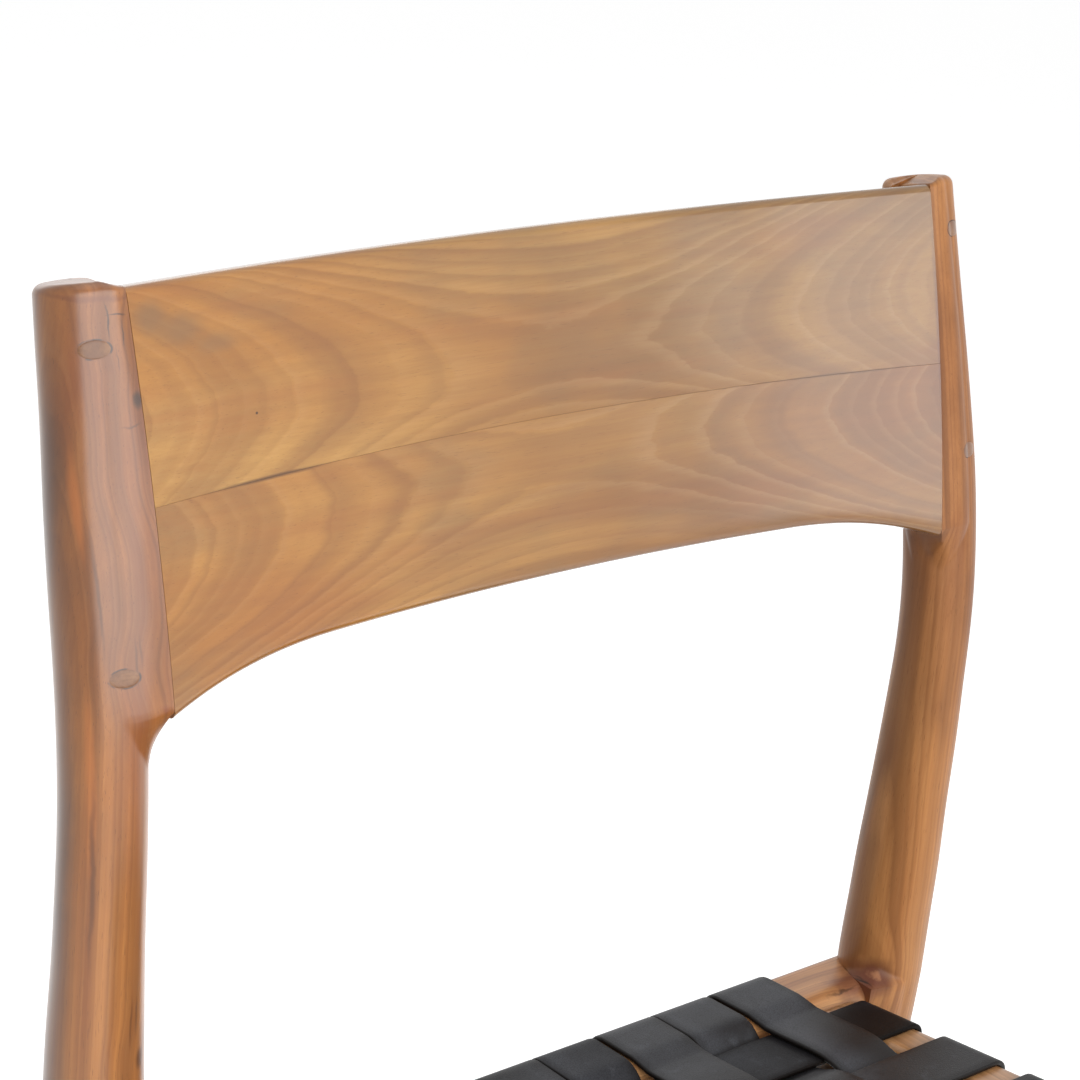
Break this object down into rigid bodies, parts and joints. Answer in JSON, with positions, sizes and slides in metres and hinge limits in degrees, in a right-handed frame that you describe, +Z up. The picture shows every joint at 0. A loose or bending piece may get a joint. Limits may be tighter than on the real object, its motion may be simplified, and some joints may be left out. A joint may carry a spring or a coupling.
{
  "type": "dining chair",
  "caption": "Armless teak dining chair with tapered round legs, a curved two-board back rail held by oval pegs, and a woven black leather strap seat.",
  "frame": {"origin": "on the floor, under the middle of the chair's bounding box", "axes": "+Z up, -Y towards the front of the seat, +X towards the sitter's left"},
  "size_m": [0.501, 0.53, 0.8072],
  "materials": {
    "teak": "honey brown, satin lacquer",
    "peg_teak": "grey-brown end grain, satin",
    "block_wood": "plain, unfinished",
    "leather": "smooth black, soft sheen",
    "zinc": "dull zinc plate",
    "glide": "matte"
  },
  "bodies": {
    "root": {"rear_leg_left": "teak", "front_leg_left": "teak", "side_seat_rail_left": "teak", "oval_peg_upper_left": "peg_teak", "oval_peg_lower_left": "peg_teak", "corner_block_rear_left": "block_wood", "foot_glide_rear_left": "glide", "block_screw_rear_left_cross": "zinc", "block_screw_rear_left_side": "zinc", "corner_block_front_left": "block_wood", "foot_glide_front_left": "glide", "block_screw_front_left_cross": "zinc", "block_screw_front_left_side": "zinc", "rear_leg_right": "teak", "front_leg_right": "teak", "side_seat_rail_right": "teak", "oval_peg_upper_right": "peg_teak", "oval_peg_lower_right": "peg_teak", "corner_block_rear_right": "block_wood", "foot_glide_rear_right": "glide", "block_screw_rear_right_cross": "zinc", "block_screw_rear_right_side": "zinc", "corner_block_front_right": "block_wood", "foot_glide_front_right": "glide", "block_screw_front_right_cross": "zinc", "block_screw_front_right_side": "zinc", "back_rail_upper_board": "teak", "back_rail_lower_board": "teak", "rear_seat_rail": "teak", "front_seat_rail": "teak", "lengthwise_strap_1": "leather", "crosswise_strap_1": "leather", "lengthwise_strap_2": "leather", "crosswise_strap_2": "leather", "lengthwise_strap_3": "leather", "crosswise_strap_3": "leather", "lengthwise_strap_4": "leather", "crosswise_strap_4": "leather", "lengthwise_strap_5": "leather", "crosswise_strap_5": "leather", "lengthwise_strap_6": "leather", "crosswise_strap_6": "leather", "lengthwise_strap_7": "leather", "crosswise_strap_7": "leather", "lengthwise_strap_8": "leather", "crosswise_strap_8": "leather", "lengthwise_strap_9": "leather", "crosswise_strap_9": "leather"}
  },
  "joints": []
}
